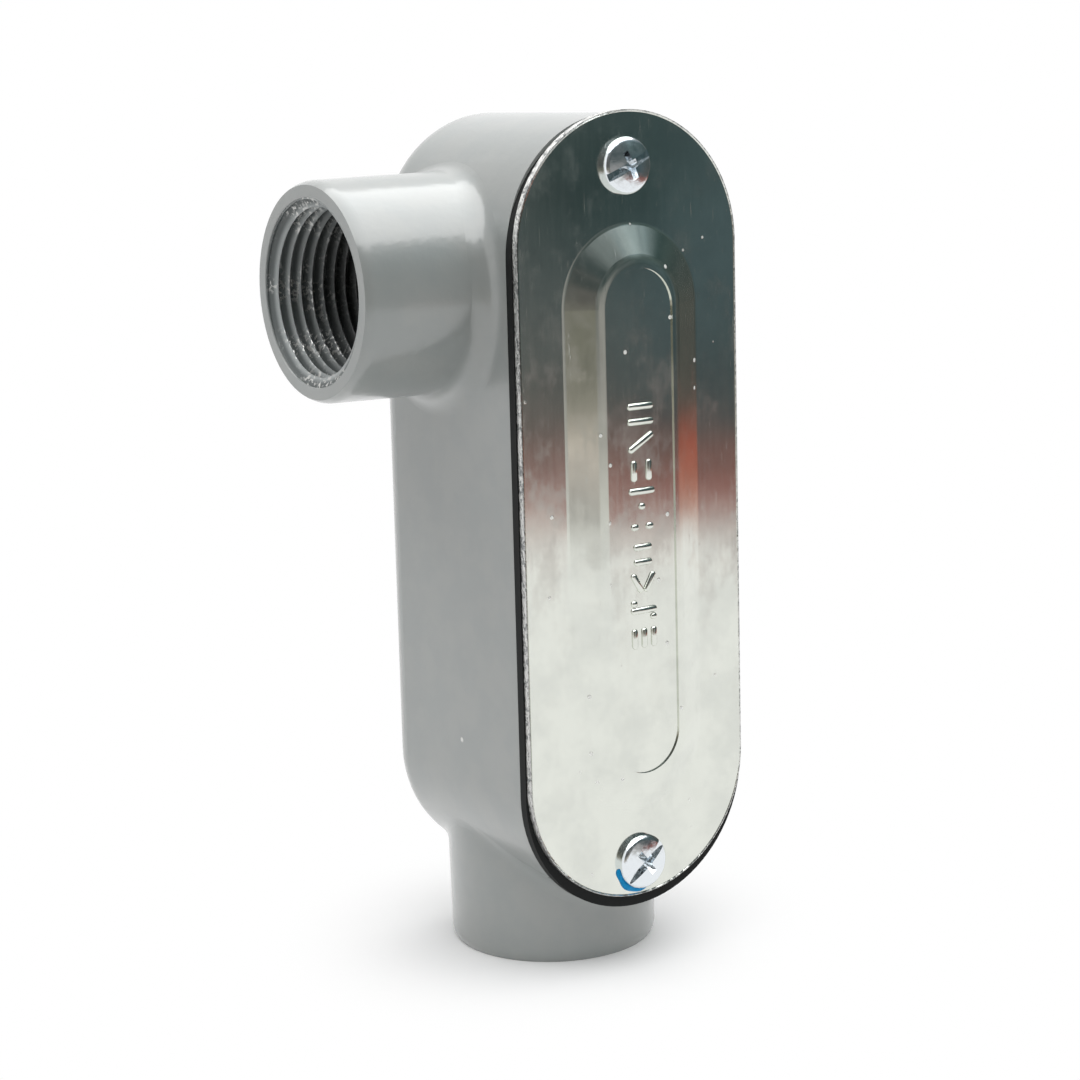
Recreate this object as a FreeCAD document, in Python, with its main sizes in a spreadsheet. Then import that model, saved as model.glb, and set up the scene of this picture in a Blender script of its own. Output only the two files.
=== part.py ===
import FreeCAD, Part
import math
import os
import re
import Sketcher

# Conduit body of the LL pattern, 3/4 trade size, in millimetres.
# The origin is the centre of the run hub's end face. +Z runs up the run hub's axis,
# the cover faces -Y and the side hub points to -X.

os.makedirs("parts", exist_ok=True)
doc = FreeCAD.newDocument("conduit_body")

# ---------------------------------------------------------------- sizes
SIZES = {
    # chamber of the casting, whose margins are counted from the hubs' outer radius
    "side_margin": 2.75,            # to the body's sides, and so to its round ends
    "body_straight": 77.6,          # between the centres of the round ends
    "body_bottom": 10.8,            # lowest point, above the run hub's end face
    "seat_margin": 4.25,            # forward to the cover seat
    "back_margin": 1.35,            # back to the rear face
    "back_round": 5.5,
    "side_wall": 2.6,
    "back_wall": 2.8,
    "floor_round": 3.0,
    "chamber_corner": 4.8,
    # hubs, alike in both directions
    "hub_wall": 2.35,               # over the thread's root, just behind the end round
    "hub_draft": 0.9,               # degrees
    "hub_round": 3.0,
    "hub_round_drop": 0.6,          # by which the flat end is narrower than the hub
    "side_hub_reach": 38.3,         # from the run axis to the side hub's end face
    "side_hub_drop": 5.4,           # of its axis below the centre of the upper round end
    "side_hub_blend": 3.4,
    "run_hub_blend": 3.0,
    "thread_radius": 13.3,          # of the wall that carries the pipe thread
    "thread_length": 18.0,
    "mouth_bevel": 0.1,
    "throat_radius": 10.4,
    "throat_length": 4.0,           # of the run hub's smooth throat
    "throat_round": 0.5,
    # cover screws and their bosses
    "upper_screw_inset": 7.3,       # from the body's upper end to the screw's axis
    "lower_screw_inset": 5.7,
    "lower_screw_shift": 0.5,       # sideways, as its hole was drilled
    "screw_radius": 2.08,
    "screw_tip": 0.5,
    "screw_tip_gap": 0.7,           # clearance between the tip and the end of its hole
    "screw_play": 0.1,              # clearance in the boss
    "screw_hole_floor": 0.9,        # left between the lower hole and the run hub's thread
    "boss_wall": 2.2,
    "boss_depth": 13.0,
    "head_radius": 4.05,
    "head_height": 1.85,
    "head_crown": 0.7,              # rise of the crown over the head's edge
    "head_round": 0.9,
    "slot_width": 1.15,
    "slot_depth": 0.85,
    "cross_width": 0.95,
    "cross_reach": 2.25,            # from the axis to a wing's tip
    "cross_depth": 1.75,
    "cross_floor_width": 0.55,
    "cross_floor_reach": 0.8,
    "upper_turn": 25.0,             # of the slot from level, in degrees
    "lower_turn": 38.0,
    # gasket
    "gasket_overhang": 1.1,         # of its half width over the body's
    "gasket_shorter": 1.2,          # by which its straight sides are shorter
    "gasket_thick": 1.4,
    "gasket_shift": 0.8,            # sideways, as it lies on the seat
    "gasket_margin": 3.6,           # from its outline in to the opening
    "gasket_land": 7.5,             # from a screw to the end of the opening
    "gasket_hole_play": 1.0,
    # cover
    "cover_overhang": 0.7,          # of its half width over the body's
    "cover_shorter": 1.5,           # by which its straight sides are shorter
    "cover_lift": 0.5,              # of its outline's middle over the body's
    "cover_thick": 1.0,
    "cover_shift": 0.6,             # sideways, within the play of its holes
    "cover_hole_play": 0.85,
    "panel_drop": 0.2,              # of its middle below that of the two screws
    "panel_end_gap": 7.95,          # from a screw's axis to the foot of the panel's end
    "panel_foot": 11.55,            # half width where the raised panel leaves the flange
    "panel_top": 6.7,               # half width where its slope would end if not rounded
    "panel_rise": 2.15,
    "panel_top_round": 3.6,
    "panel_foot_round": 1.2,
    "field_half_width": 5.87,       # of the flat field, set a step below the shoulder
    "field_shorter": 0.8,           # by which its straight sides are shorter
    "field_step": 0.25,
    "underside_draw": 0.25,         # by which the hollow underneath is narrower
}

sheet = doc.addObject("Spreadsheet::Sheet", "Sizes")
for row, (alias, value) in enumerate(SIZES.items(), start=1):
    sheet.set(f"A{row}", alias)
    sheet.set(f"B{row}", str(value))
    sheet.setAlias(f"B{row}", alias)
doc.recompute()

# heights, depths and lengths that follow from the sizes
HUB_RADIUS = "(thread_radius + hub_wall)"
BODY_HALF = f"({HUB_RADIUS} + side_margin)"
SEAT = f"({HUB_RADIUS} + seat_margin)"
BACK = f"({HUB_RADIUS} + back_margin)"
LOWER_END = f"(body_bottom + {BODY_HALF})"
UPPER_END = f"(body_bottom + {BODY_HALF} + body_straight)"
CHAMBER_HALF = f"({BODY_HALF} - side_wall)"
CHAMBER_FLOOR = "(thread_length + throat_length)"
CHAMBER_DEPTH = f"({SEAT} + {BACK} - back_wall)"
HUB_ROUND_LENGTH = "sqrt(2 * hub_round * hub_round_drop - hub_round_drop ^ 2)"
SIDE_HUB_HEIGHT = f"({UPPER_END} - side_hub_drop)"
UPPER_SCREW = f"({UPPER_END} + {BODY_HALF} - upper_screw_inset)"
LOWER_SCREW = "(body_bottom + lower_screw_inset)"
SCREW_MIDDLE = f"({UPPER_SCREW} / 2 + {LOWER_SCREW} / 2)"
SCREW_HOLE = "(screw_radius + screw_play)"
SCREW_HOLE_DEPTH = f"({SEAT} - thread_radius - screw_hole_floor)"
SCREW_LENGTH = f"(cover_thick + gasket_thick + {SCREW_HOLE_DEPTH} - screw_tip_gap)"
BOSS_HALF = f"({SCREW_HOLE} + boss_wall)"
BOSS_TOP = f"({UPPER_END} + {BODY_HALF} - side_wall / 2)"
BOSS_STRAIGHT = f"({BOSS_TOP} - {BOSS_HALF} - {UPPER_SCREW})"
GASKET_FRONT = f"({SEAT} + gasket_thick)"
GASKET_HALF = f"({BODY_HALF} + gasket_overhang)"
GASKET_STRAIGHT = "(body_straight - gasket_shorter)"
COVER_FRONT = f"({SEAT} + gasket_thick + cover_thick)"
COVER_HALF = f"({BODY_HALF} + cover_overhang)"
COVER_STRAIGHT = "(body_straight - cover_shorter)"
COVER_MIDDLE = f"({LOWER_END} + body_straight / 2 + cover_lift)"
PANEL_FRONT = f"({COVER_FRONT} + panel_rise)"
PANEL_MIDDLE = f"({SCREW_MIDDLE} - panel_drop)"
PANEL_STRAIGHT = f"({UPPER_SCREW} - {LOWER_SCREW} - 2 * panel_end_gap - 2 * panel_foot)"


def size(expression):
    """Value of an expression in the names of the sheet."""
    return float(sheet.evalExpression(expression))


def named(expression):
    """The expression as objects other than the sheet have to write it."""
    return re.sub(r"\w+", lambda word: "Sizes." * (word[0] in SIZES) + word[0], expression)


# ---------------------------------------------------------------- sketches
def new_sketch(body, name, plane="XZ_Plane", forward="0", up="0"):
    """Sketch on one of the body's own planes. The normal of XZ is -Y, of XY +Z."""
    sketch = body.newObject("Sketcher::SketchObject", name)
    base_plane = [item for item in body.Origin.OriginFeatures if item.Role == plane][0]
    sketch.AttachmentSupport = [(base_plane, "")]
    sketch.MapMode = "FlatFace"
    sketch.setExpression("AttachmentOffset.Base.z", named(forward))
    sketch.setExpression("AttachmentOffset.Base.y", named(up))
    return sketch


def bind(sketch, kind, geometry, point, expression):
    """Ties a point's distance from the sketch's origin to an expression."""
    value = size(expression)
    if abs(value) < 1e-9:
        axis = -2 if kind == "DistanceX" else -1
        sketch.addConstraint(Sketcher.Constraint("PointOnObject", geometry, point, axis))
        return
    index = sketch.addConstraint(Sketcher.Constraint(kind, -1, 1, geometry, point, value))
    sketch.setExpression(f"Constraints[{index}]", named(expression))


def bind_radius(sketch, geometry, expression):
    value = size(expression)
    index = sketch.addConstraint(Sketcher.Constraint("Radius", geometry, value))
    sketch.setExpression(f"Constraints[{index}]", named(expression))


def outline(sketch, corners):
    """Closed outline through corners (across, up). A third entry is the radius of an arc
    that runs to the next corner and bulges to the left of the way."""
    points = [FreeCAD.Vector(size(corner[0]), size(corner[1]), 0) for corner in corners]
    sides = []
    for corner, start, end in zip(corners, points, points[1:] + points[:1]):
        if len(corner) == 2:
            sides.append((sketch.addGeometry(Part.LineSegment(start, end), False), 1, 2))
            continue
        radius = size(corner[2])
        half_chord = (end - start).Length / 2
        bulge = radius - math.sqrt(radius ** 2 - half_chord ** 2)
        left = FreeCAD.Vector(start.y - end.y, end.x - start.x, 0).normalize()
        arc = Part.Arc(start, (start + end) * 0.5 + left * bulge, end)
        side = sketch.addGeometry(arc, False)
        bind_radius(sketch, side, corner[2])
        starts_here = sketch.getPoint(side, 1).distanceToPoint(start) < 1e-6
        sides.append((side, 1, 2) if starts_here else (side, 2, 1))
    for index, (side, first, last) in enumerate(sides):
        following, its_first, _ = sides[(index + 1) % len(sides)]
        joint = Sketcher.Constraint("Coincident", side, last, following, its_first)
        sketch.addConstraint(joint)
        bind(sketch, "DistanceX", side, first, corners[index][0])
        bind(sketch, "DistanceY", side, first, corners[index][1])


def round_ended(sketch, half_width, straight, across, middle):
    """Upright outline with two round ends."""
    reach = size(half_width)
    normal = FreeCAD.Vector(0, 0, 1)
    side = FreeCAD.Vector(reach, 0, 0)
    upper = FreeCAD.Vector(size(across), size(f"{middle} + {straight} / 2"), 0)
    lower = FreeCAD.Vector(size(across), size(f"{middle} - {straight} / 2"), 0)
    top = Part.ArcOfCircle(Part.Circle(upper, normal, reach), 0, math.pi)
    left = Part.LineSegment(upper - side, lower - side)
    bottom = Part.ArcOfCircle(Part.Circle(lower, normal, reach), math.pi, 2 * math.pi)
    right = Part.LineSegment(lower + side, upper + side)
    top, left, bottom, right = sketch.addGeometry([top, left, bottom, right], False)
    for first, second in ((top, left), (left, bottom), (bottom, right), (right, top)):
        sketch.addConstraint(Sketcher.Constraint("Tangent", first, 2, second, 1))
    bind_radius(sketch, top, half_width)
    bind(sketch, "DistanceX", top, 3, across)
    bind(sketch, "DistanceY", top, 3, f"{middle} + {straight} / 2")
    bind(sketch, "DistanceX", bottom, 3, across)
    bind(sketch, "DistanceY", bottom, 3, f"{middle} - {straight} / 2")


def circle(sketch, radius, across, up):
    centre = FreeCAD.Vector(size(across), size(up), 0)
    ring = Part.Circle(centre, FreeCAD.Vector(0, 0, 1), size(radius))
    ring = sketch.addGeometry(ring, False)
    bind_radius(sketch, ring, radius)
    bind(sketch, "DistanceX", ring, 3, across)
    bind(sketch, "DistanceY", ring, 3, up)


# ---------------------------------------------------------------- features
def new_body(label):
    body = doc.addObject("PartDesign::Body", label)
    body.Label = label
    body.Placement = FreeCAD.Placement()
    return body


def straight_cut_or_pad(body, kind, name, sketch, length, reverse=False):
    feature = body.newObject(f"PartDesign::{kind}", name)
    feature.Profile = sketch
    feature.Reversed = reverse
    feature.setExpression("Length", named(length))
    doc.recompute()
    return feature


def turned(body, kind, name, sketch, axis):
    """Revolution or groove all the way round H_Axis or V_Axis of its sketch."""
    feature = body.newObject(f"PartDesign::{kind}", name)
    feature.Profile = sketch
    feature.ReferenceAxis = (sketch, [axis])
    feature.Angle = 360
    doc.recompute()
    return feature


def loft(body, kind, name, first, second):
    feature = body.newObject(f"PartDesign::{kind}", name)
    feature.Profile = first
    feature.Sections = [second]
    feature.Ruled = True
    doc.recompute()
    return feature


def rounded(body, name, base, radius, wanted):
    """Fillet on those edges of the base that the test picks."""
    edges = [f"Edge{i}" for i, edge in enumerate(base.Shape.Edges, start=1) if wanted(edge)]
    if not edges:
        raise ValueError(f"{name} found no edge")
    feature = body.newObject("PartDesign::Fillet", name)
    feature.Base = (base, edges)
    feature.setExpression("Radius", named(radius))
    doc.recompute()
    return feature


def along(edge, count=9):
    """Points spaced evenly along an edge."""
    first, last = edge.ParameterRange
    return [edge.valueAt(first + (last - first) * step / (count - 1)) for step in range(count)]


def near(value, expression, slack=1e-4):
    return abs(value - size(expression)) < slack


# ---------------------------------------------------------------- casting
# One casting: chamber, two hubs with smooth throats, and two screw bosses.
body = new_body("body")

shell_outline = new_sketch(body, "shell_outline", forward=f"-{BACK}")
round_ended(shell_outline, BODY_HALF, "body_straight", "0",
            f"(body_bottom + {BODY_HALF} + body_straight / 2)")
shell = straight_cut_or_pad(body, "Pad", "shell", shell_outline, f"{SEAT} + {BACK}")
shell = rounded(body, "rear_round", shell, "back_round",
                lambda edge: all(near(point.y, BACK) for point in along(edge)))

# Each hub is turned from a half section. Its end round meets the drafted side smoothly.
side_profile = new_sketch(body, "side_hub_profile", up=SIDE_HUB_HEIGHT)
outline(side_profile, [
    ("-side_hub_reach", "0"),
    ("-side_hub_reach", f"{HUB_RADIUS} - hub_round_drop", "hub_round"),
    (f"-side_hub_reach + {HUB_ROUND_LENGTH}", HUB_RADIUS),
    (f"-{BODY_HALF} / 2",
     f"{HUB_RADIUS} + (side_hub_reach - {BODY_HALF} / 2) * tan(hub_draft * 1 deg)"),
    (f"-{BODY_HALF} / 2", "0"),
])
side_hub = turned(body, "Revolution", "side_hub", side_profile, "H_Axis")

run_profile = new_sketch(body, "run_hub_profile")
outline(run_profile, [
    ("0", LOWER_END),
    (f"{HUB_RADIUS} + {LOWER_END} * tan(hub_draft * 1 deg)", LOWER_END),
    (HUB_RADIUS, HUB_ROUND_LENGTH, "hub_round"),
    (f"{HUB_RADIUS} - hub_round_drop", "0"),
    ("0", "0"),
])
run_hub = turned(body, "Revolution", "run_hub", run_profile, "V_Axis")


def on_hub(points, radii, slack=0.5):
    """True for an edge on a hub's side, clear of its end: where it runs into the chamber."""
    on_side = all(abs(radius - size(HUB_RADIUS)) < slack for radius in radii)
    return on_side and all(distance > 3 * size("hub_round") for distance in points)


def meets_side_hub(edge):
    points = along(edge)
    rises = [point.z - size(SIDE_HUB_HEIGHT) for point in points]
    radii = [math.hypot(point.y, rise) for point, rise in zip(points, rises)]
    return on_hub([point.x + size("side_hub_reach") for point in points], radii)


def meets_run_hub(edge):
    points = along(edge)
    radii = [math.hypot(point.x, point.y) for point in points]
    return on_hub([point.z for point in points], radii)


side_blend = rounded(body, "side_hub_blend", run_hub, "side_hub_blend", meets_side_hub)
run_blend = rounded(body, "run_hub_blend", side_blend, "run_hub_blend", meets_run_hub)

# The chamber is open at the seat. Its lower end stops at the run hub's throat.
chamber_outline = new_sketch(body, "chamber_outline", forward=SEAT)
outline(chamber_outline, [
    (CHAMBER_HALF, UPPER_END),
    (CHAMBER_HALF, f"{CHAMBER_FLOOR} + chamber_corner", "chamber_corner"),
    (f"{CHAMBER_HALF} - chamber_corner", CHAMBER_FLOOR),
    (f"chamber_corner - {CHAMBER_HALF}", CHAMBER_FLOOR, "chamber_corner"),
    (f"-{CHAMBER_HALF}", f"{CHAMBER_FLOOR} + chamber_corner"),
    (f"-{CHAMBER_HALF}", UPPER_END, CHAMBER_HALF),
    ("0", f"{UPPER_END} + {CHAMBER_HALF}", CHAMBER_HALF),
])
chamber = straight_cut_or_pad(body, "Pocket", "chamber", chamber_outline, CHAMBER_DEPTH)


def chamber_floor_edge(edge):
    """Edge of the chamber's rear floor, one wall in front of the rear face."""
    return all(near(point.y, f"{BACK} - back_wall") for point in along(edge))


chamber = rounded(body, "chamber_floor_round", chamber, "floor_round", chamber_floor_edge)

# The upper screw has a boss that hangs from the end wall beside the chamber. The lower one
# is drilled into the solid end in front of the run hub.
boss_outline = new_sketch(body, "boss_outline", forward=SEAT)
round_ended(boss_outline, BOSS_HALF, BOSS_STRAIGHT, "0", f"({UPPER_SCREW} + {BOSS_STRAIGHT} / 2)")
straight_cut_or_pad(body, "Pad", "upper_boss", boss_outline, "boss_depth", reverse=True)

screw_holes = new_sketch(body, "screw_hole_outline", forward=SEAT)
circle(screw_holes, SCREW_HOLE, "0", UPPER_SCREW)
circle(screw_holes, SCREW_HOLE, "lower_screw_shift", LOWER_SCREW)
straight_cut_or_pad(body, "Pocket", "screw_holes", screw_holes, SCREW_HOLE_DEPTH)

# Each way through a hub is a bevelled mouth, a wall for the thread and a smooth throat.
side_way = new_sketch(body, "side_way_profile", up=SIDE_HUB_HEIGHT)
outline(side_way, [
    ("-side_hub_reach", "0"),
    ("-side_hub_reach", "thread_radius + mouth_bevel"),
    ("-side_hub_reach + mouth_bevel", "thread_radius"),
    ("-side_hub_reach + thread_length", "thread_radius"),
    ("-side_hub_reach + thread_length", "throat_radius"),
    (f"-{BODY_HALF} / 2", "throat_radius"),
    (f"-{BODY_HALF} / 2", "0"),
])
turned(body, "Groove", "side_way", side_way, "H_Axis")

run_way = new_sketch(body, "run_way_profile")
outline(run_way, [
    ("0", "0"),
    ("0", f"{CHAMBER_FLOOR} + throat_round"),
    ("throat_radius", f"{CHAMBER_FLOOR} + throat_round"),
    ("throat_radius", "thread_length"),
    ("thread_radius", "thread_length"),
    ("thread_radius", "mouth_bevel"),
    ("thread_radius + mouth_bevel", "0"),
])
run_bore = turned(body, "Groove", "run_way", run_way, "V_Axis")


def throat_edge(edge):
    """Edge where the run hub's throat opens into the chamber."""
    points = along(edge)
    level = all(near(point.z, CHAMBER_FLOOR) for point in points)
    return level and all(near(math.hypot(point.x, point.y), "throat_radius") for point in points)


rounded(body, "throat_round", run_bore, "throat_round", throat_edge)

# ---------------------------------------------------------------- gasket
# Flat ring cut from sheet rubber, lying a little to one side on the seat.
gasket = new_body("gasket")
gasket_outline = new_sketch(gasket, "gasket_outline", forward=SEAT)
round_ended(gasket_outline, GASKET_HALF, GASKET_STRAIGHT, "gasket_shift", SCREW_MIDDLE)
straight_cut_or_pad(gasket, "Pad", "gasket_sheet", gasket_outline, "gasket_thick")

OPENING_HALF = f"({GASKET_HALF} - gasket_margin)"
OPENING_TOP = f"({UPPER_SCREW} - gasket_land)"
OPENING_FOOT = f"({LOWER_SCREW} + gasket_land)"
gasket_opening = new_sketch(gasket, "gasket_opening_outline", forward=GASKET_FRONT)
outline(gasket_opening, [
    (f"gasket_shift + {OPENING_HALF}", f"{OPENING_TOP} - chamber_corner"),
    (f"gasket_shift + {OPENING_HALF}", f"{OPENING_FOOT} + chamber_corner", "chamber_corner"),
    (f"gasket_shift + {OPENING_HALF} - chamber_corner", OPENING_FOOT),
    (f"gasket_shift - {OPENING_HALF} + chamber_corner", OPENING_FOOT, "chamber_corner"),
    (f"gasket_shift - {OPENING_HALF}", f"{OPENING_FOOT} + chamber_corner"),
    (f"gasket_shift - {OPENING_HALF}", f"{OPENING_TOP} - chamber_corner", "chamber_corner"),
    (f"gasket_shift - {OPENING_HALF} + chamber_corner", OPENING_TOP),
    (f"gasket_shift + {OPENING_HALF} - chamber_corner", OPENING_TOP, "chamber_corner"),
])
straight_cut_or_pad(gasket, "Pocket", "gasket_opening", gasket_opening, "gasket_thick")

gasket_holes = new_sketch(gasket, "gasket_hole_outline", forward=GASKET_FRONT)
circle(gasket_holes, "(screw_radius + gasket_hole_play)", "gasket_shift", UPPER_SCREW)
circle(gasket_holes, "(screw_radius + gasket_hole_play)", "gasket_shift", LOWER_SCREW)
straight_cut_or_pad(gasket, "Pocket", "gasket_holes", gasket_holes, "gasket_thick")

# ---------------------------------------------------------------- cover
# Stamped sheet: a flat flange and a long raised panel whose flat field lies a small step
# below its rounded shoulder. The hollow underneath keeps the sheet near one thickness.
cover = new_body("cover")
flange_outline = new_sketch(cover, "flange_outline", forward=GASKET_FRONT)
round_ended(flange_outline, COVER_HALF, COVER_STRAIGHT, "cover_shift", COVER_MIDDLE)
straight_cut_or_pad(cover, "Pad", "flange", flange_outline, "cover_thick")

panel_foot = new_sketch(cover, "panel_foot_outline", forward=COVER_FRONT)
round_ended(panel_foot, "panel_foot", PANEL_STRAIGHT, "cover_shift", PANEL_MIDDLE)
panel_top = new_sketch(cover, "panel_top_outline", forward=PANEL_FRONT)
round_ended(panel_top, "panel_top", PANEL_STRAIGHT, "cover_shift", PANEL_MIDDLE)
panel = loft(cover, "AdditiveLoft", "panel", panel_foot, panel_top)


def panel_top_edge(edge):
    return all(near(point.y, f"-{PANEL_FRONT}") for point in along(edge))


def panel_foot_edge(edge):
    """Edge between the flange and the panel's slope, well inside the cover's outline."""
    points = along(edge)
    level = all(near(point.y, f"-{COVER_FRONT}") for point in points)
    reach = size(f"{PANEL_STRAIGHT} / 2 + panel_foot + panel_end_gap / 2")
    inside = all(abs(point.z - size(PANEL_MIDDLE)) < reach for point in points)
    narrow = all(abs(point.x - size("cover_shift")) < size(COVER_HALF) - 1 for point in points)
    return level and inside and narrow


panel = rounded(cover, "panel_top_round", panel, "panel_top_round", panel_top_edge)
panel = rounded(cover, "panel_foot_round", panel, "panel_foot_round", panel_foot_edge)

field_outline = new_sketch(cover, "field_outline", forward=PANEL_FRONT)
round_ended(field_outline, "field_half_width", f"({PANEL_STRAIGHT} - field_shorter)",
            "cover_shift", PANEL_MIDDLE)
straight_cut_or_pad(cover, "Pocket", "field", field_outline, "field_step")

hollow_foot = new_sketch(cover, "hollow_foot_outline", forward=GASKET_FRONT)
round_ended(hollow_foot, "(panel_foot - underside_draw)", PANEL_STRAIGHT, "cover_shift",
            PANEL_MIDDLE)
hollow_top = new_sketch(cover, "hollow_top_outline",
                        forward=f"{GASKET_FRONT} + panel_rise - field_step")
round_ended(hollow_top, "(panel_top - underside_draw)", PANEL_STRAIGHT, "cover_shift",
            PANEL_MIDDLE)
loft(cover, "SubtractiveLoft", "hollow", hollow_foot, hollow_top)

cover_holes = new_sketch(cover, "cover_hole_outline", forward=COVER_FRONT)
circle(cover_holes, "(screw_radius + cover_hole_play)", "cover_shift", UPPER_SCREW)
circle(cover_holes, "(screw_radius + cover_hole_play)", "cover_shift", LOWER_SCREW)
straight_cut_or_pad(cover, "Pocket", "cover_holes", cover_holes, "cover_thick")


# ---------------------------------------------------------------- screws
def cover_screw(label, across, height, slot_turn):
    """Pan head screw with a slot across a cross recess. It is made about Y with the
    underside of its head at the origin, then set on the cover."""
    screw = new_body(label)
    half = new_sketch(screw, f"{label}_profile", plane="YZ_Plane")
    outline(half, [
        ("-head_height", "0", "((head_radius ^ 2 + head_crown ^ 2) / (2 * head_crown))"),
        ("head_crown - head_height", "head_radius"),
        ("0", "head_radius"),
        ("0", "screw_radius"),
        (f"{SCREW_LENGTH} - screw_tip", "screw_radius"),
        (SCREW_LENGTH, "screw_radius - screw_tip"),
        (SCREW_LENGTH, "0"),
    ])
    blank = turned(screw, "Revolution", f"{label}_blank", half, "H_Axis")
    rounded(screw, f"{label}_head_round", blank, "head_round",
            lambda edge: all(near(point.y, "head_crown - head_height") for point in along(edge)))

    slot = new_sketch(screw, f"{label}_slot_outline", forward="head_height")
    outline(slot, [
        ("-head_radius", "-slot_width / 2"),
        ("head_radius", "-slot_width / 2"),
        ("head_radius", "slot_width / 2"),
        ("-head_radius", "slot_width / 2"),
    ])
    straight_cut_or_pad(screw, "Pocket", f"{label}_slot", slot, "slot_depth")

    crosses = []
    for level, wide, reach in (("head_height", "cross_width", "cross_reach"),
                               ("head_height - cross_depth", "cross_floor_width",
                                "cross_floor_reach")):
        cross = new_sketch(screw, f"{label}_cross_{len(crosses)}", forward=level)
        near_side = f"{wide} / 2"
        outline(cross, [
            (reach, f"-{near_side}"), (reach, near_side), (near_side, near_side),
            (near_side, reach), (f"-{near_side}", reach), (f"-{near_side}", near_side),
            (f"-{reach}", near_side), (f"-{reach}", f"-{near_side}"),
            (f"-{near_side}", f"-{near_side}"), (f"-{near_side}", f"-{reach}"),
            (near_side, f"-{reach}"), (near_side, f"-{near_side}"),
        ])
        crosses.append(cross)
    loft(screw, "SubtractiveLoft", f"{label}_cross", *crosses)

    turn = FreeCAD.Rotation(FreeCAD.Vector(0, -1, 0), size(slot_turn))
    place = FreeCAD.Vector(size(across), -size(COVER_FRONT), size(height))
    screw.Placement = FreeCAD.Placement(place, turn)
    screw.setExpression("Placement.Base.x", named(across))
    screw.setExpression("Placement.Base.y", named(f"-{COVER_FRONT}"))
    screw.setExpression("Placement.Base.z", named(height))
    screw.setExpression("Placement.Rotation.Angle", named(slot_turn))
    return screw


upper_screw = cover_screw("cover_screw_top", "0", UPPER_SCREW, "upper_turn")
lower_screw = cover_screw("cover_screw_bottom", "lower_screw_shift", LOWER_SCREW,
                          "lower_turn")

# ---------------------------------------------------------------- checks and export
doc.recompute()
for item in doc.Objects:
    if "Invalid" in item.State or "Error" in item.State:
        raise RuntimeError(f"{item.Name} did not compute")
for piece in (body, gasket, cover, upper_screw, lower_screw):
    if piece.Shape.isNull() or not piece.Shape.isValid() or len(piece.Shape.Solids) != 1:
        raise RuntimeError(f"{piece.Label} is not one sound solid")
    piece.Shape.exportStep(f"parts/{piece.Label}.step")
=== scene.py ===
import math

import bmesh
import bpy
from mathutils import Matrix, Vector


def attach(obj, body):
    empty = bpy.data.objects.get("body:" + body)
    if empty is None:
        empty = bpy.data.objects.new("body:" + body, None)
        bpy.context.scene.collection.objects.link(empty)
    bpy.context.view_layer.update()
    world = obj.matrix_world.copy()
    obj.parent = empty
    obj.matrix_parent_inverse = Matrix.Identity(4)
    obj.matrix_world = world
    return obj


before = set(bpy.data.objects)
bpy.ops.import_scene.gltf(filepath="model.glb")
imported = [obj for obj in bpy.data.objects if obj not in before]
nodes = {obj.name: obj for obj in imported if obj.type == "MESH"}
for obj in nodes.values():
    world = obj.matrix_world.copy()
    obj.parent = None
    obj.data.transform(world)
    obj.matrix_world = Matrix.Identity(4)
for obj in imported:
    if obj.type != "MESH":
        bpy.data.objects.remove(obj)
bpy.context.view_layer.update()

# ---------------------------------------------------------------- casting
# The body is one aluminium die casting. It is coated in grey enamel, which is glossy and
# leaves a faint orange peel, and carries a speck of dust near its foot.
ENAMEL_DARK, ENAMEL_LIGHT = (0.300, 0.322, 0.315, 1.0), (0.322, 0.338, 0.328, 1.0)
DUST_WHITE = (0.80, 0.80, 0.78, 1.0)
SPECK, SPECK_CORE, SPECK_RIM = (-0.0184, -0.0042, 0.0343), 0.0002, 0.0005
SWELL_SIZE, SWELL_DEPTH = 0.010, 0.00012
PEEL_SIZE, PEEL_DEPTH = 0.0012, 0.000030


def new_material(name):
    """A material with its node tree, its shader and a coordinate node on the object."""
    material = bpy.data.materials.new(name)
    material.use_nodes = True
    tree = material.node_tree
    shader = tree.nodes["Principled BSDF"]
    place = tree.nodes.new("ShaderNodeTexCoord")
    return material, tree, shader, place.outputs["Object"]


def stretched(tree, place, sizes):
    """Coordinates for features that are so many metres long in each direction."""
    mapping = tree.nodes.new("ShaderNodeMapping")
    mapping.inputs["Scale"].default_value = [1.0 / size for size in sizes]
    tree.links.new(place, mapping.inputs["Vector"])
    return mapping.outputs["Vector"]


def noise(tree, place, size, detail=2.0, roughness=0.5):
    """Noise whose features are about size metres across."""
    texture = tree.nodes.new("ShaderNodeTexNoise")
    texture.inputs["Scale"].default_value = 1.0 / size
    texture.inputs["Detail"].default_value = detail
    texture.inputs["Roughness"].default_value = roughness
    tree.links.new(place, texture.inputs["Vector"])
    return texture.outputs["Fac"]


def calculate(tree, operation, first, second=0.5):
    """One maths node. Each value is a number or a socket."""
    node = tree.nodes.new("ShaderNodeMath")
    node.operation = operation
    for socket, value in zip(node.inputs, (first, second)):
        if isinstance(value, (int, float)):
            socket.default_value = value
        else:
            tree.links.new(value, socket)
    return node.outputs[0]


def fade(tree, value, start, end, low=0.0, high=1.0):
    """Carries a value from start..end over to low..high, and holds it at both ends."""
    node = tree.nodes.new("ShaderNodeMapRange")
    node.interpolation_type = "SMOOTHSTEP"
    for name, number in (("From Min", start), ("From Max", end), ("To Min", low),
                         ("To Max", high)):
        node.inputs[name].default_value = number
    tree.links.new(value, node.inputs["Value"])
    return node.outputs["Result"]


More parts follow.
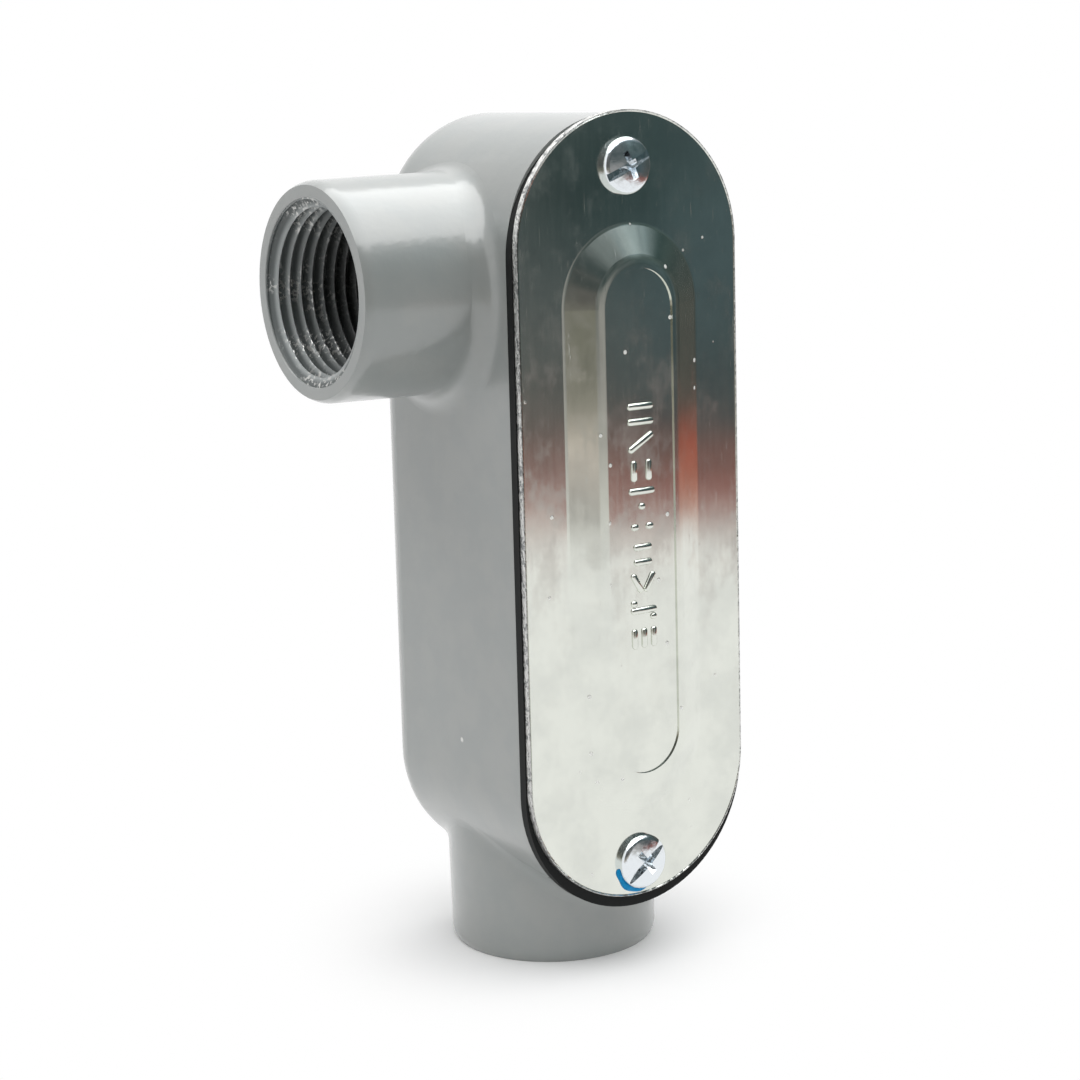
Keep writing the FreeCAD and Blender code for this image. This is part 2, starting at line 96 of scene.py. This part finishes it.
def blend(tree, share, first, second):
    """Colour that goes from first to second. Each is a colour or a socket."""
    node = tree.nodes.new("ShaderNodeMix")
    node.data_type = "RGBA"
    tree.links.new(share, node.inputs["Factor"])
    for socket, value in ((node.inputs[6], first), (node.inputs[7], second)):
        if isinstance(value, tuple):
            socket.default_value = value
        else:
            tree.links.new(value, socket)
    return node.outputs[2]


def distance_to(tree, place, centre):
    """Distance from a point on the object, in metres."""
    node = tree.nodes.new("ShaderNodeVectorMath")
    node.operation = "DISTANCE"
    node.inputs[1].default_value = centre
    tree.links.new(place, node.inputs[0])
    return node.outputs["Value"]


def bump(tree, height, depth, below=None):
    """Bump of a real depth in metres, laid over another bump if one is given."""
    node = tree.nodes.new("ShaderNodeBump")
    node.inputs["Strength"].default_value = 1.0
    node.inputs["Distance"].default_value = depth
    tree.links.new(height, node.inputs["Height"])
    if below:
        tree.links.new(below, node.inputs["Normal"])
    return node.outputs["Normal"]


enamel, tree, shader, place = new_material("grey_enamel")
shader.inputs["Roughness"].default_value = 0.38
shader.inputs["Coat Weight"].default_value = 1.0
shader.inputs["Coat IOR"].default_value = 1.7
shader.inputs["Coat Roughness"].default_value = 0.17
dust = fade(tree, distance_to(tree, place, SPECK), SPECK_CORE, SPECK_RIM, 1.0, 0.0)
mottle = fade(tree, noise(tree, place, 0.006, 3.0), 0.35, 0.65)
shade = blend(tree, mottle, ENAMEL_DARK, ENAMEL_LIGHT)
tree.links.new(blend(tree, dust, shade, DUST_WHITE), shader.inputs["Base Color"])
swell = bump(tree, noise(tree, place, SWELL_SIZE, 1.0), SWELL_DEPTH)
peel = bump(tree, noise(tree, place, PEEL_SIZE), PEEL_DEPTH, swell)
tree.links.new(peel, shader.inputs["Normal"])
tree.links.new(bump(tree, dust, 0.0001, peel), shader.inputs["Coat Normal"])
nodes["body"].material_slots[0].material = enamel

# ---------------------------------------------------------------- hub threads
# Taper pipe thread cut in each hub of the same casting: 14 ridges to the inch behind a
# countersunk mouth. Grey overspray covers the crests and the bare metal glints between.
# The grooves, and the turns deeper inside the hub, are darkened with painted shade.
PITCH = 0.0018143
CREST, ROOT, SLEEVE = 0.01195, 0.01325, 0.01334  # radii, the last just inside the wall
TAPER = 1.0 / 32.0                              # on the radius, for each unit of depth
THREAD_START, THREAD_END = 0.0002, 0.0178       # depths behind the hub's face
CONE_MOUTH, CONE_SLOPE = 0.01345, 1.9           # countersink: radius, and loss by depth
TURN_STEPS = 96
SIDE_HUB_MOUTH = (-0.0383, 0.0, 0.1014)
# the groove colour and the deep colour are painted shade, the crest colour is the overspray
GROOVE_PAINTED_SHADE, CREST_GREY = (0.13, 0.145, 0.145, 1.0), (0.46, 0.49, 0.49, 1.0)
DEEP_SHADE, BARE_METAL = (0.02, 0.022, 0.022, 1.0), (0.62, 0.62, 0.60, 1.0)
# one ridge in section: how far along the pitch, and how far from root to crest
RIDGE = ((0.00, 0.0), (0.05, 0.03), (0.10, 0.12), (0.41, 0.87), (0.46, 0.97), (0.50, 1.0),
         (0.54, 0.97), (0.59, 0.87), (0.90, 0.12), (0.95, 0.03))


def shade_smooth(shape, crease=35.0):
    """Smooth faces that stay sharp where they meet at more than the crease, in degrees."""
    bmesh.ops.recalc_face_normals(shape, faces=shape.faces)
    for face in shape.faces:
        face.smooth = True
    for edge in shape.edges:
        edge.smooth = edge.calc_face_angle(0.0) < math.radians(crease)


def new_piece(name, shape, material):
    """Turns a finished shape into an object that rides on the fitting."""
    mesh = bpy.data.meshes.new(name)
    shape.to_mesh(mesh)
    shape.free()
    mesh.materials.append(material)
    piece = bpy.data.objects.new(name, mesh)
    bpy.context.collection.objects.link(piece)
    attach(piece, "root")


def threaded_sleeve(turn):
    """Thin threaded lining. It is made with its mouth at the origin and runs up Z, then is
    turned and moved into its hub."""
    shape = bmesh.new()
    height = shape.verts.layers.float.new("ridge")
    inside = shape.verts.layers.float.new("depth")
    profile = []
    ridges = int(THREAD_END / PITCH) + 3
    for ridge in range(-1, ridges):
        for along, rise in RIDGE:
            profile.append(shape.verts.new((ROOT - rise * (ROOT - CREST), 0.0,
                                            (ridge + along) * PITCH)))
    edges = [shape.edges.new(pair) for pair in zip(profile, profile[1:])]
    bmesh.ops.spin(shape, geom=profile + edges, axis=(0, 0, 1), cent=(0, 0, 0),
                   dvec=(0, 0, PITCH / TURN_STEPS), angle=math.tau, steps=TURN_STEPS,
                   use_merge=False)
    bmesh.ops.remove_doubles(shape, verts=shape.verts, dist=1e-7)
    # the helix is made too long and is trimmed square at both ends
    for level, side in ((THREAD_START, -1), (THREAD_END, 1)):
        everything = shape.verts[:] + shape.edges[:] + shape.faces[:]
        bmesh.ops.bisect_plane(shape, geom=everything, dist=1e-7, plane_co=(0, 0, level),
                               plane_no=(0, 0, side), clear_outer=True)
    # taper narrows it with depth, and the countersink cuts the first ridges away
    for vert in shape.verts:
        radius = math.hypot(vert.co.x, vert.co.y)
        vert[height] = (ROOT - radius) / (ROOT - CREST)
        cone = CONE_MOUTH - CONE_SLOPE * vert.co.z
        wanted = max(radius - TAPER * vert.co.z, cone)
        vert.co.x *= wanted / radius
        vert.co.y *= wanted / radius
    # both rims go out to the sleeve's outer wall, which closes it
    rims = []
    for level in (THREAD_START, THREAD_END):
        rim = [edge for edge in shape.edges if edge.is_boundary
               and all(abs(vert.co.z - level) < 1e-5 for vert in edge.verts)]
        outer = bmesh.ops.extrude_edge_only(shape, edges=rim)["geom"]
        for vert in outer:
            if isinstance(vert, bmesh.types.BMVert):
                radius = math.hypot(vert.co.x, vert.co.y)
                vert.co.x *= SLEEVE / radius
                vert.co.y *= SLEEVE / radius
        rims += [edge for edge in outer if isinstance(edge, bmesh.types.BMEdge)
                 and edge.is_boundary]
    bmesh.ops.bridge_loops(shape, edges=rims)
    for vert in shape.verts:
        vert[inside] = vert.co.z / THREAD_END
    shade_smooth(shape, 45.0)
    bmesh.ops.transform(shape, matrix=turn, verts=shape.verts)
    return shape


def attribute(tree, name):
    """A number that the mesh carries at each point."""
    node = tree.nodes.new("ShaderNodeAttribute")
    node.attribute_name = name
    return node.outputs["Fac"]


thread_paint, tree, shader, place = new_material("sprayed_thread")
ridge = attribute(tree, "ridge")
depth = attribute(tree, "depth")
grain = noise(tree, place, 0.0006)
patches = noise(tree, place, 0.005)
bare = calculate(tree, "MULTIPLY", fade(tree, grain, 0.52, 0.60),
                 fade(tree, patches, 0.42, 0.62))
bare = calculate(tree, "MULTIPLY", bare, fade(tree, depth, 0.3, 0.7, 1.0, 0.1))
# painted shade: grooves darker than crests, and the thread darker still deeper in the hub
cut = blend(tree, fade(tree, ridge, 0.35, 0.92), GROOVE_PAINTED_SHADE, CREST_GREY)
cut = blend(tree, fade(tree, depth, 0.05, 0.75, 0.0, 0.9), cut, DEEP_SHADE)
tree.links.new(blend(tree, bare, cut, BARE_METAL), shader.inputs["Base Color"])
tree.links.new(calculate(tree, "MULTIPLY", bare, 0.85), shader.inputs["Metallic"])
tree.links.new(fade(tree, grain, 0.3, 0.7, 0.5, 0.28), shader.inputs["Roughness"])
tree.links.new(bump(tree, grain, 0.00004), shader.inputs["Normal"])
upright = Matrix.Identity(4)
sideways = Matrix.Translation(SIDE_HUB_MOUTH) @ Matrix.Rotation(math.pi / 2, 4, "Y")
new_piece("run_hub_thread", threaded_sleeve(upright), thread_paint)
new_piece("side_hub_thread", threaded_sleeve(sideways), thread_paint)

# ---------------------------------------------------------------- gasket
# Flat black rubber, cut from sheet with one long opening and a hole for each screw. It is
# pinched between the casting's seat and the cover.
rubber, tree, shader, place = new_material("black_rubber")
shader.inputs["Base Color"].default_value = (0.008, 0.009, 0.009, 1.0)
shader.inputs["Roughness"].default_value = 0.6
shader.inputs["Specular IOR Level"].default_value = 0.2
tree.links.new(bump(tree, noise(tree, place, 0.0006), 0.00002), shader.inputs["Normal"])
nodes["gasket"].material_slots[0].material = rubber

# ---------------------------------------------------------------- cover
# Stamped from bright galvanised sheet steel and held down by its two screws. Handling has
# left fine upright scratches, bright nicks and smudges, and its sheared edge is raw.
COVER_ACROSS, COVER_HALF = 0.0006, 0.0191       # its middle line and its half width
COVER_LOW, COVER_HIGH = 0.03045, 0.10655        # centres of its round ends
SHEARED_FROM, SHEARED_TO = 0.00036, 0.00005     # of the raw edge, inwards from the rim
SHEET_LIGHT, SHEET_DARK = (0.77, 0.79, 0.73, 1.0), (0.69, 0.71, 0.66, 1.0)
SHEARED_DARK, SHEARED_LIGHT = (0.30, 0.31, 0.31, 1.0), (0.74, 0.74, 0.72, 1.0)
WORN_WHITE = (0.93, 0.93, 0.90, 1.0)
NICK_SPACING = 0.0044
BRUSHED_SIZE, BRUSHED_DEPTH = (0.0007, 0.002, 0.012), 0.000001
RIPPLE_SIZE, RIPPLE_DEPTH = (0.0022, 0.002, 0.006), 0.0000045
DENT_SIZE, DENT_DEPTH = 0.011, 0.000035
SCRATCH_SIZE = (0.00025, 0.002, 0.006)
SMUDGE_SIZE = (0.005, 0.005, 0.007)


def along_axes(tree, place):
    """The three coordinates, each as a number of its own."""
    split = tree.nodes.new("ShaderNodeSeparateXYZ")
    tree.links.new(place, split.inputs[0])
    return split.outputs["X"], split.outputs["Y"], split.outputs["Z"]


steel, tree, shader, place = new_material("bright_sheet_steel")
side, _, height = along_axes(tree, place)
# the raw edge follows the outline, which is a straight strip with two round ends
across = calculate(tree, "SUBTRACT", side, COVER_ACROSS)
held = calculate(tree, "MINIMUM", calculate(tree, "MAXIMUM", height, COVER_LOW), COVER_HIGH)
past_end = calculate(tree, "SUBTRACT", height, held)
reach = calculate(tree, "SQRT", calculate(tree, "ADD",
                                          calculate(tree, "MULTIPLY", across, across),
                                          calculate(tree, "MULTIPLY", past_end, past_end)))
edge_share = fade(tree, reach, COVER_HALF - SHEARED_FROM, COVER_HALF - SHEARED_TO)
streaks = noise(tree, stretched(tree, place, BRUSHED_SIZE), 1.0, 3.0, 0.6)
scratches = fade(tree, noise(tree, stretched(tree, place, SCRATCH_SIZE), 1.0, 4.0, 0.7),
                 0.67, 0.73)
clouds = noise(tree, place, 0.008, 4.0, 0.6)
smudges = noise(tree, stretched(tree, place, SMUDGE_SIZE), 1.0, 5.0, 0.65)
ragged = noise(tree, place, 0.0009, 3.0, 0.7)
nicks = tree.nodes.new("ShaderNodeTexVoronoi")
nicks.inputs["Scale"].default_value = 1.0 / NICK_SPACING
nicks.inputs["Randomness"].default_value = 1.0
tree.links.new(place, nicks.inputs["Vector"])
nick_share = calculate(tree, "MULTIPLY",
                       fade(tree, nicks.outputs["Distance"], 0.045, 0.08, 1.0, 0.0),
                       fade(tree, clouds, 0.38, 0.46))
worn = calculate(tree, "MAXIMUM", nick_share, calculate(tree, "MULTIPLY", scratches, 0.3))
sheen = blend(tree, fade(tree, clouds, 0.35, 0.7), SHEET_LIGHT, SHEET_DARK)
sheen = blend(tree, worn, sheen, WORN_WHITE)
raw = blend(tree, fade(tree, ragged, 0.38, 0.52), SHEARED_DARK, SHEARED_LIGHT)
tree.links.new(blend(tree, edge_share, sheen, raw), shader.inputs["Base Color"])
tree.links.new(calculate(tree, "SUBTRACT", 1.0, nick_share), shader.inputs["Metallic"])
rough = calculate(tree, "ADD", fade(tree, streaks, 0.3, 0.75, 0.11, 0.135),
                  calculate(tree, "MULTIPLY", worn, 0.4))
rough = calculate(tree, "ADD", rough, fade(tree, smudges, 0.46, 0.66, 0.0, 0.075))
rough = calculate(tree, "MAXIMUM", rough, calculate(tree, "MULTIPLY", edge_share, 0.38))
tree.links.new(rough, shader.inputs["Roughness"])
wave = bump(tree, noise(tree, place, DENT_SIZE, 1.0), DENT_DEPTH)
wave = bump(tree, noise(tree, stretched(tree, place, RIPPLE_SIZE), 1.0, 3.0), RIPPLE_DEPTH,
            wave)
wave = bump(tree, streaks, BRUSHED_DEPTH, wave)
wave = bump(tree, worn, 0.00003, wave)
wave = bump(tree, calculate(tree, "MULTIPLY", edge_share, ragged), 0.00035, wave)
tree.links.new(wave, shader.inputs["Normal"])
nodes["cover"].material_slots[0].material = steel

# ---------------------------------------------------------------- marks on the cover
# A column of plain strokes and studs stamped up from behind in the flat field of the
# cover. Each is a small rounded ridge, two fifths of a millimetre high.
FIELD = -0.02420                                # of the flat field, along Y
STROKE, STROKE_RISE = 0.00100, 0.00040
MARK_PITCH, MARK_TOP = 0.00407, 0.08295
# each mark is a few strokes: across, up, length in millimetres and turn in degrees
MARKS = (((0.0, 1.1, 4.5, 0), (0.0, -1.1, 4.5, 0)),
         ((0.0, 0.0, 4.9, -30),),
         ((-1.3, 0.0, 3.1, 90), (1.3, 0.0, 3.1, 90)),
         ((0.0, 1.1, 4.5, 0), (0.0, -1.1, 1.1, 0)),
         ((-1.3, 0.0, 1.3, 0), (1.3, 0.0, 1.3, 0)),
         ((0.0, 1.1, 3.2, 0), (0.0, -1.1, 3.2, 0)),
         ((-1.1, 0.0, 3.2, 60), (1.1, 0.0, 3.2, -60)),
         ((0.0, 0.0, 4.6, 0), (-1.7, 1.1, 1.1, 0), (1.7, -1.1, 1.1, 0)),
         ((-1.7, 0.0, 3.0, 90), (0.0, 0.0, 3.0, 90), (1.7, 0.0, 3.0, 90)))
shape = bmesh.new()
for row, mark in enumerate(MARKS):
    for right, rise, length, turn in mark:
        ball = bmesh.ops.create_uvsphere(shape, u_segments=20, v_segments=12,
                                         radius=STROKE / 2)["verts"]
        stretch = max(0.0, length / 1000.0 - STROKE) / 2
        for vert in ball:
            if abs(vert.co.x) > 1e-6:
                vert.co.x += math.copysign(stretch, vert.co.x)
        bmesh.ops.scale(shape, verts=ball, vec=(1.0, STROKE_RISE / (STROKE / 2), 1.0))
        bmesh.ops.rotate(shape, verts=ball, cent=(0, 0, 0),
                         matrix=Matrix.Rotation(math.radians(turn), 3, "Y"))
        centre = (COVER_ACROSS + right / 1000.0, FIELD,
                  MARK_TOP - row * MARK_PITCH + rise / 1000.0)
        bmesh.ops.translate(shape, verts=ball, vec=centre)
shade_smooth(shape, 80.0)
new_piece("cover_marks", shape, steel)

# ---------------------------------------------------------------- cover screws
# Pan head machine screws of steel with a bright zinc plate. Each has a slot across a cross
# recess, and goes through the cover and the gasket into a boss of the casting.
zinc, tree, shader, place = new_material("bright_zinc")
shader.inputs["Base Color"].default_value = (0.80, 0.84, 0.87, 1.0)
shader.inputs["Metallic"].default_value = 1.0
rub = noise(tree, place, 0.0006, 3.0)
tree.links.new(fade(tree, rub, 0.3, 0.7, 0.10, 0.22), shader.inputs["Roughness"])
tree.links.new(bump(tree, rub, 0.00002), shader.inputs["Normal"])
for name in ("cover_screw_top", "cover_screw_bottom"):
    nodes[name].material_slots[0].material = zinc

# ---------------------------------------------------------------- blue compound
# A bead of bright blue compound that was squeezed out at the foot of the lower screw's
# head and dried there, on its left and lower side.
BEAD = 0.00046                                  # its half thickness
HEAD_REACH, HEAD_CENTRE = 0.00415, Vector((0.0005, -0.0223, 0.0165))
BEAD_FROM, BEAD_TO = 188.0, 288.0               # degrees about the screw, from +X
shape = bmesh.new()
ring = bmesh.ops.create_circle(shape, segments=12, radius=BEAD)["verts"]
bmesh.ops.translate(shape, verts=ring, vec=(HEAD_REACH, 0, 0))
bmesh.ops.rotate(shape, verts=ring, cent=(0, 0, 0),
                 matrix=Matrix.Rotation(math.radians(-BEAD_FROM), 3, "Y"))
bmesh.ops.spin(shape, geom=shape.verts[:] + shape.edges[:], axis=(0, -1, 0), cent=(0, 0, 0),
               angle=math.radians(BEAD_TO - BEAD_FROM), steps=40, use_merge=False)
bmesh.ops.holes_fill(shape, edges=[edge for edge in shape.edges if edge.is_boundary])
# thin at both ends, and lumpy near the end where it starts
for vert in shape.verts:
    swing = math.degrees(math.atan2(vert.co.z, vert.co.x)) % 360.0
    share = (swing - BEAD_FROM) / (BEAD_TO - BEAD_FROM)
    thick = 0.25 + 1.15 * math.sin(math.pi * min(1.0, max(0.0, share))) ** 0.7
    thick += 0.30 * math.sin(math.tau * 2.6 * share + 0.6) * (1.0 - share)
    spine = Vector((math.cos(math.radians(swing)), 0, math.sin(math.radians(swing))))
    spine *= HEAD_REACH
    vert.co = spine + (vert.co - spine) * thick
bmesh.ops.translate(shape, verts=shape.verts, vec=HEAD_CENTRE)
shade_smooth(shape, 80.0)
compound, tree, shader, place = new_material("blue_compound")
shader.inputs["Base Color"].default_value = (0.0, 0.25, 0.56, 1.0)
shader.inputs["Roughness"].default_value = 0.45
shader.inputs["Specular IOR Level"].default_value = 0.2
tree.links.new(bump(tree, noise(tree, place, 0.0007), 0.00012), shader.inputs["Normal"])
new_piece("screw_compound", shape, compound)

# ---------------------------------------------------------------- floor
# A sheet of white paper on a darker table. Its light falls off towards the table, but the
# camera and reflections find it white all the way, and the part's shadow stays on it.
FLOOR_HALF = 3.0
PAPER_WHITE, TABLE_GREY = (0.92, 0.92, 0.92, 1.0), (0.20, 0.20, 0.20, 1.0)
PAPER_FROM, PAPER_TO = 0.12, 0.35               # where paper gives way to table
SHADOW_FROM, SHADOW_TO = 0.008, 0.045           # where the part's shadow runs out
floor_mesh = bpy.data.meshes.new("floor")
sheet = bmesh.new()
bmesh.ops.create_grid(sheet, x_segments=1, y_segments=1, size=FLOOR_HALF)
sheet.to_mesh(floor_mesh)
sheet.free()
floor = bpy.data.objects.new("floor", floor_mesh)
bpy.context.collection.objects.link(floor)


def bare_emission(tree, strength):
    """Plain emission whose colour is still to be set."""
    node = tree.nodes.new("ShaderNodeEmission")
    node.inputs["Strength"].default_value = strength
    return node


def seen_share(tree):
    """One for rays that the camera or a reflection sends, nought for light."""
    path = tree.nodes.new("ShaderNodeLightPath")
    return calculate(tree, "MAXIMUM", path.outputs["Is Camera Ray"],
                     path.outputs["Is Glossy Ray"])


paper, tree, shader, place = new_material("white_paper")
shader.inputs["Roughness"].default_value = 0.9
shader.inputs["Specular IOR Level"].default_value = 0.0
away = distance_to(tree, place, (0.0, 0.0, 0.0))
tree.links.new(blend(tree, fade(tree, away, PAPER_FROM, PAPER_TO), PAPER_WHITE, TABLE_GREY),
               shader.inputs["Base Color"])
far_share = calculate(tree, "MULTIPLY", fade(tree, away, SHADOW_FROM, SHADOW_TO),
                      seen_share(tree))
mix = tree.nodes.new("ShaderNodeMixShader")
tree.links.new(far_share, mix.inputs[0])
tree.links.new(shader.outputs[0], mix.inputs[1])
tree.links.new(bare_emission(tree, 1.0).outputs[0], mix.inputs[2])
tree.links.new(mix.outputs[0], tree.nodes["Material Output"].inputs["Surface"])
floor_mesh.materials.append(paper)

# ---------------------------------------------------------------- painted reflection card
# A glowing curved card in front of the part, which the camera doesn't see, stands in for the
# room beyond the table. Its colours are painted reflections for the cover, and go by height
# and by direction in degrees from +X.
CARD_REACH, CARD_FOOT, CARD_HEIGHT = 0.36, 0.0005, 0.44
CARD_FROM, CARD_TO = -150.0, 30.0
GAP_CENTRE, GAP_SHADE = (0.1934, -0.3036, 0.100), (0.01, 0.03, 0.03, 1.0)
BLOTCH_SIZE, BLOTCH_SHADE = 0.055, (0.025, 0.045, 0.048, 1.0)
BEYOND = (0.60, 0.60, 0.58, 1.0)
card_mesh = bpy.data.meshes.new("painted_reflection_card")
wall = bmesh.new()
foot = wall.verts.new((CARD_REACH * math.cos(math.radians(CARD_FROM)),
                       CARD_REACH * math.sin(math.radians(CARD_FROM)), CARD_FOOT))
head = wall.verts.new((foot.co.x, foot.co.y, CARD_HEIGHT))
edge = wall.edges.new((foot, head))
bmesh.ops.spin(wall, geom=[edge, foot, head], axis=(0, 0, 1), cent=(0, 0, 0), steps=60,
               angle=math.radians(CARD_TO - CARD_FROM), use_merge=False)
wall.to_mesh(card_mesh)
wall.free()
card = bpy.data.objects.new("painted_reflection_card", card_mesh)
bpy.context.collection.objects.link(card)
card.visible_camera = False
card.visible_shadow = False
card.visible_transmission = False


def stops_by_height(tree, height, stops):
    """Colours at heights in metres, blended in between."""
    node = tree.nodes.new("ShaderNodeValToRGB")
    elements = node.color_ramp.elements
    for _ in range(len(stops) - 2):
        elements.new(0.5)
    for element, (level, colour) in zip(elements, stops):
        element.position = level / CARD_HEIGHT
        element.color = (*colour, 1.0)
    tree.links.new(calculate(tree, "DIVIDE", height, CARD_HEIGHT), node.inputs["Fac"])
    return node.outputs["Color"]


painted_reflections, tree, shader, place = new_material("painted_reflection_card")
tree.nodes.remove(shader)
side, forward, height = along_axes(tree, place)
turn = calculate(tree, "DEGREES", calculate(tree, "ARCTAN2", forward, side))
# painted reflection for the cover's left flange and left part of its field
ahead_left = stops_by_height(tree, height, (
    (0.0, (0.72, 0.64, 0.61)), (0.005, (0.56, 0.38, 0.355)), (0.0095, (0.42, 0.24, 0.22)),
    (0.017, (0.30, 0.165, 0.15)), (0.026, (0.18, 0.13, 0.12)), (0.038, (0.12, 0.125, 0.12)),
    (0.075, (0.11, 0.125, 0.13)), (0.26, (0.095, 0.13, 0.13)), (0.33, (0.20, 0.26, 0.28)),
    (0.43, (0.75, 0.84, 0.86))))
# painted reflection for the rest of its field and its right flange
ahead = stops_by_height(tree, height, (
    (0.0, (0.54, 0.40, 0.37)), (0.005, (0.34, 0.15, 0.13)), (0.0105, (0.27, 0.085, 0.07)),
    (0.017, (0.28, 0.105, 0.09)), (0.025, (0.17, 0.110, 0.10)), (0.034, (0.065, 0.085, 0.09)),
    (0.075, (0.085, 0.125, 0.14)), (0.23, (0.09, 0.13, 0.125)), (0.29, (0.30, 0.40, 0.43)),
    (0.43, (0.75, 0.84, 0.86))))
ahead = blend(tree, fade(tree, turn, -60.0, -54.0), ahead_left, ahead)
# painted reflection for the right slope of its raised panel
right_side = stops_by_height(tree, height, (
    (0.0, (0.70, 0.62, 0.58)), (0.004, (0.52, 0.24, 0.18)), (0.026, (0.38, 0.09, 0.06)),
    (0.034, (0.10, 0.10, 0.09)), (0.25, (0.05, 0.085, 0.085)), (0.43, (0.35, 0.40, 0.42))))
# painted reflection for the panel's left slope
left_side = stops_by_height(tree, height, (
    (0.0, (0.74, 0.72, 0.68)), (0.007, (0.33, 0.32, 0.31)), (0.012, (0.36, 0.35, 0.34)),
    (0.026, (0.86, 0.75, 0.68)), (0.030, (0.70, 0.62, 0.56)), (0.036, (0.22, 0.215, 0.18)),
    (0.075, (0.22, 0.215, 0.175)), (0.085, (0.14, 0.13, 0.12)), (0.30, (0.11, 0.12, 0.12)),
    (0.43, (0.35, 0.40, 0.42))))
# painted reflection for the rounded foot of that slope
stripe = stops_by_height(tree, height, (
    (0.0, (0.80, 0.79, 0.76)), (0.03, (0.42, 0.40, 0.38)), (0.10, (0.30, 0.30, 0.29)),
    (0.16, (0.10, 0.12, 0.12)), (0.27, (0.08, 0.10, 0.10)), (0.43, (0.42, 0.48, 0.50))))
colour = blend(tree, fade(tree, turn, -67.0, -63.0), stripe, ahead)
colour = blend(tree, fade(tree, turn, -96.0, -92.0), left_side, colour)
colour = blend(tree, fade(tree, turn, -46.0, -25.0), colour, right_side)
colour = blend(tree, fade(tree, turn, -4.0, 8.0), colour, BEYOND)
# painted shade: a dark patch and dark blotches in what the cover reflects
gap = distance_to(tree, place, GAP_CENTRE)
colour = blend(tree, fade(tree, gap, 0.005, 0.045, 0.75, 0.0), colour, GAP_SHADE)
blotches = noise(tree, place, BLOTCH_SIZE, 4.0, 0.6)
colour = blend(tree, calculate(tree, "MULTIPLY", fade(tree, blotches, 0.46, 0.66),
                               fade(tree, height, 0.03, 0.06, 0.0, 0.65)),
               colour, BLOTCH_SHADE)
# the card glows with these painted colours and also sends a little light onto the part
glow = bare_emission(tree, 1.0)
tree.links.new(colour, glow.inputs["Color"])
tree.links.new(glow.outputs[0], tree.nodes["Material Output"].inputs["Surface"])
card_mesh.materials.append(painted_reflections)

# ---------------------------------------------------------------- sky and lamp
# White surroundings that give little light of their own, and one large soft lamp overhead
# and a little in front, which gives the rest.
SKY_LIGHT, SKY_SEEN = 0.1, 1.0
LAMP_PLACE, LAMP_SIZE, LAMP_POWER = (0.0, -0.15, 0.80), 1.5, 16.0
LAMP_AIM = Vector((0, 0, 0.06))
world = bpy.data.worlds.new("surroundings")
bpy.context.scene.world = world
world.use_nodes = True
tree = world.node_tree
sky = tree.nodes["Background"]
sky.inputs["Color"].default_value = (1.0, 1.0, 1.0, 1.0)
sky.inputs["Strength"].default_value = SKY_LIGHT
seen = tree.nodes.new("ShaderNodeBackground")
seen.inputs["Color"].default_value = (1.0, 1.0, 1.0, 1.0)
seen.inputs["Strength"].default_value = SKY_SEEN
mix = tree.nodes.new("ShaderNodeMixShader")
tree.links.new(seen_share(tree), mix.inputs[0])
tree.links.new(sky.outputs[0], mix.inputs[1])
tree.links.new(seen.outputs[0], mix.inputs[2])
tree.links.new(mix.outputs[0], tree.nodes["World Output"].inputs["Surface"])
lamp = bpy.data.lights.new("overhead", "AREA")
lamp.shape = "SQUARE"
lamp.size = LAMP_SIZE
lamp.energy = LAMP_POWER
holder = bpy.data.objects.new("overhead", lamp)
bpy.context.collection.objects.link(holder)
holder.location = LAMP_PLACE
holder.rotation_mode = "QUATERNION"
holder.rotation_quaternion = (LAMP_AIM - Vector(LAMP_PLACE)).to_track_quat("-Z", "Y")

# ---------------------------------------------------------------- camera
# A long lens a third of a metre and more away, a little above the part and to the left
# of its cover, and tipped by about a degree.
AZIMUTH, ELEVATION, ROLL = (math.radians(angle) for angle in (-34.593, 9.680, -1.433))
TARGET = Vector((0.00274, 0.0, 0.06953))
DISTANCE = 0.36628
FOCAL_LENGTH, SENSOR_WIDTH = 80.70, 36.0        # in millimetres
SHIFT = (-0.0161, -0.0518)
back = Vector((math.sin(AZIMUTH) * math.cos(ELEVATION),
               -math.cos(AZIMUTH) * math.cos(ELEVATION),
               math.sin(ELEVATION)))
right = Vector((0, 0, 1)).cross(back).normalized()
up = back.cross(right)
turned_right = right * math.cos(ROLL) + up * math.sin(ROLL)
turned_up = up * math.cos(ROLL) - right * math.sin(ROLL)
lens = bpy.data.cameras.new("camera")
lens.lens = FOCAL_LENGTH
lens.sensor_width = SENSOR_WIDTH
lens.shift_x, lens.shift_y = SHIFT
lens.clip_start = 0.01
camera = bpy.data.objects.new("camera", lens)
bpy.context.collection.objects.link(camera)
camera.rotation_mode = "QUATERNION"
camera.rotation_quaternion = Matrix((turned_right, turned_up, back)).transposed().to_quaternion()
camera.location = TARGET + back * DISTANCE
bpy.context.scene.camera = camera
bpy.context.scene.view_settings.view_transform = "Standard"
